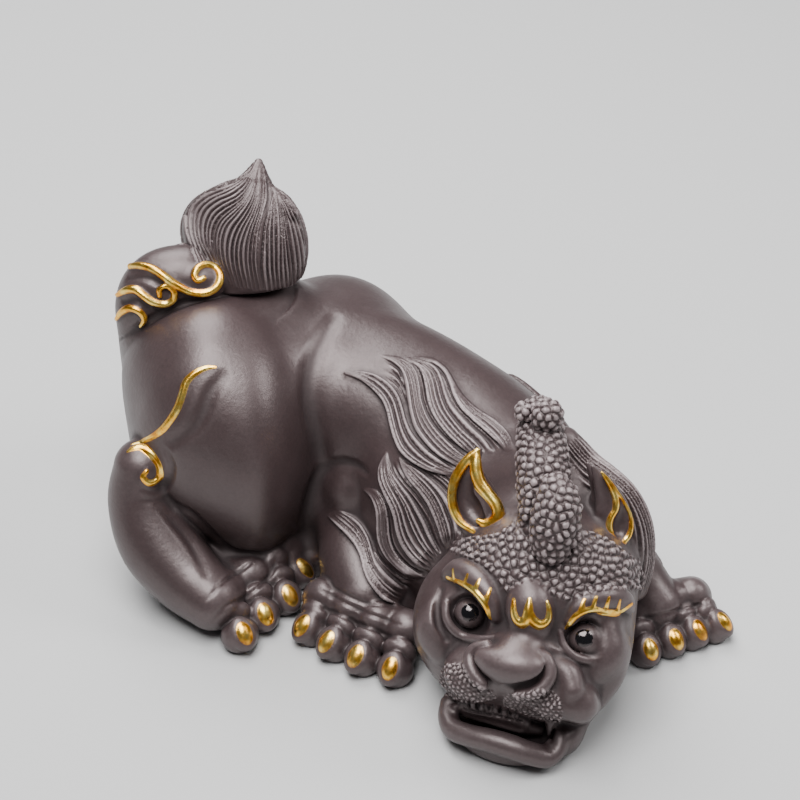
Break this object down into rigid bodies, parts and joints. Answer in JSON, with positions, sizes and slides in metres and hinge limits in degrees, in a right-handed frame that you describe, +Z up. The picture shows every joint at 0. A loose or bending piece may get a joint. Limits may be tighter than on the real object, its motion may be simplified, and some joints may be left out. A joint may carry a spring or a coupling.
{
  "type": "pixiu figure",
  "caption": "Crouching horned lion-like guardian beast with its chin on the ground and its tail raised, moulded in unglazed dark clay, that stands by its own weight.",
  "frame": {"origin": "middle of the bounding box, on the flat underside that the figure stands on", "axes": "-Y towards the head along the figure's length, +Y towards the tail, +Z up, -X towards the figure's right side"},
  "size_m": [0.093, 0.13, 0.074],
  "materials": {
    "clay": "unglazed, polished to a satin sheen, with brushed gold paint on the claws, ear rims, brow lines, forehead mark, hip line and tail scrolls"
  },
  "bodies": {
    "root": {"pixiu_figure": "clay"}
  },
  "joints": []
}
